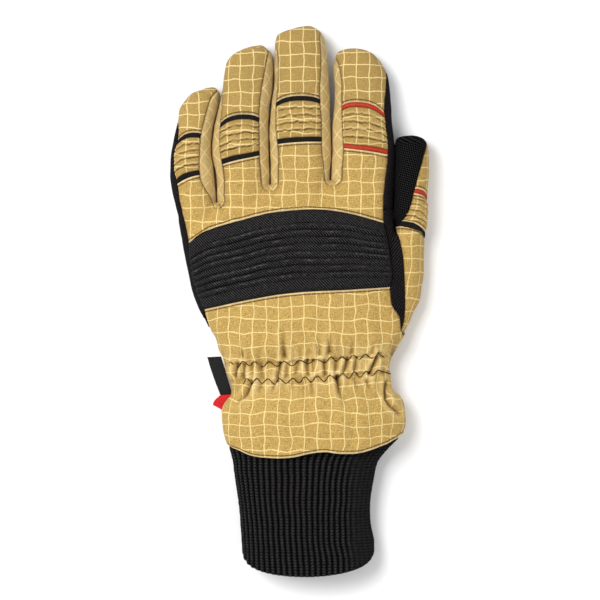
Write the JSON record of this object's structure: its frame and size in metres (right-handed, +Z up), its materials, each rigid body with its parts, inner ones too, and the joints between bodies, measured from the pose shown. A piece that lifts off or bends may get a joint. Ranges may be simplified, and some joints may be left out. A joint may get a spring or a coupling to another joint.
{
  "type": "firefighter glove",
  "caption": "Left structural firefighting glove with padded knuckle guard, gathered wrist, ribbed knit cuff and hollow fingers, lying palm down.",
  "frame": {"origin": "on the flat of the palm, under the knuckle guard, where the glove rests on a surface", "axes": "+X towards the thumb, +Y along the fingers towards their tips, +Z up out of the back of the hand"},
  "size_m": [0.1426, 0.3029, 0.0338],
  "materials": {
    "khaki_ripstop": "ripstop weave, matte",
    "black_cloth": "plain weave, matte",
    "guard_twill": "diagonal twill, slight sheen",
    "grip_cloth": "coarse grip weave, matte",
    "cuff_knit": "ribbed knit, matte",
    "red_tape": "smooth tape, soft sheen",
    "label_tape": "woven tape, matte"
  },
  "bodies": {
    "root": {"little_tip_back": "khaki_ripstop", "little_upper_stripe": "black_cloth", "little_knuckle_pad": "khaki_ripstop", "little_lower_stripe": "black_cloth", "little_front": "black_cloth", "ring_tip_back": "khaki_ripstop", "ring_upper_stripe": "black_cloth", "ring_knuckle_pad": "khaki_ripstop", "ring_lower_stripe": "black_cloth", "ring_front": "black_cloth", "middle_tip_back": "khaki_ripstop", "middle_upper_stripe": "black_cloth", "middle_knuckle_pad": "khaki_ripstop", "middle_lower_stripe": "black_cloth", "middle_front": "black_cloth", "index_tip_back": "khaki_ripstop", "index_upper_stripe": "red_tape", "index_knuckle_pad": "khaki_ripstop", "index_lower_stripe": "red_tape", "index_front": "black_cloth", "thumb_tip_back": "khaki_ripstop", "thumb_upper_stripe": "red_tape", "thumb_knuckle_pad": "khaki_ripstop", "thumb_lower_stripe": "black_cloth", "thumb_base": "khaki_ripstop", "thumb_front": "grip_cloth", "fourchette_little_ring": "khaki_ripstop", "fourchette_ring_middle": "khaki_ripstop", "fourchette_middle_index": "khaki_ripstop", "hand_back_panel": "khaki_ripstop", "knuckle_guard": "guard_twill", "palm_panel": "black_cloth", "wrist_back_panel": "khaki_ripstop", "wrist_front_panel": "khaki_ripstop", "knit_cuff": "cuff_knit", "side_label": "label_tape", "red_tab": "red_tape"}
  },
  "joints": []
}
